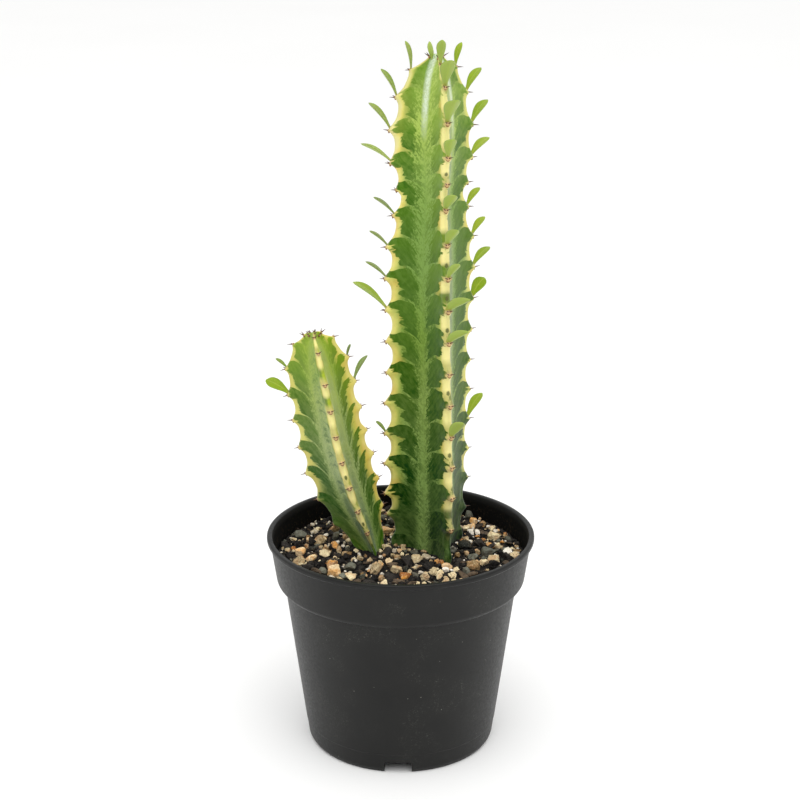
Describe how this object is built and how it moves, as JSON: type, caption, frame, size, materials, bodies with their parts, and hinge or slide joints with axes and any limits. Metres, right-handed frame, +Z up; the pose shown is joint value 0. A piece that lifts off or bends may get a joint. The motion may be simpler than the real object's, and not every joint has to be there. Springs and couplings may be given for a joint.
{
  "type": "potted euphorbia",
  "caption": "Variegated ribbed euphorbia, a tall stem and a short leaning one with spines and small leaves, standing in gritty mix in a round plastic nursery pot.",
  "frame": {"origin": "centre of the circle on which the pot stands", "axes": "+Z up along the pot's axis; -Y is the front that the picture shows, with the short stem towards -X"},
  "size_m": [0.105, 0.105, 0.2776],
  "materials": {
    "pot_plastic": "matt black moulded polypropylene",
    "potting_mix": "loose grit of pumice, perlite, lava and bark",
    "stem_skin": "smooth waxy succulent skin, green with cream margins"
  },
  "bodies": {
    "root": {"pot": "pot_plastic", "potting_mix": "potting_mix", "tall_stem": "stem_skin", "short_stem": "stem_skin"}
  },
  "joints": []
}
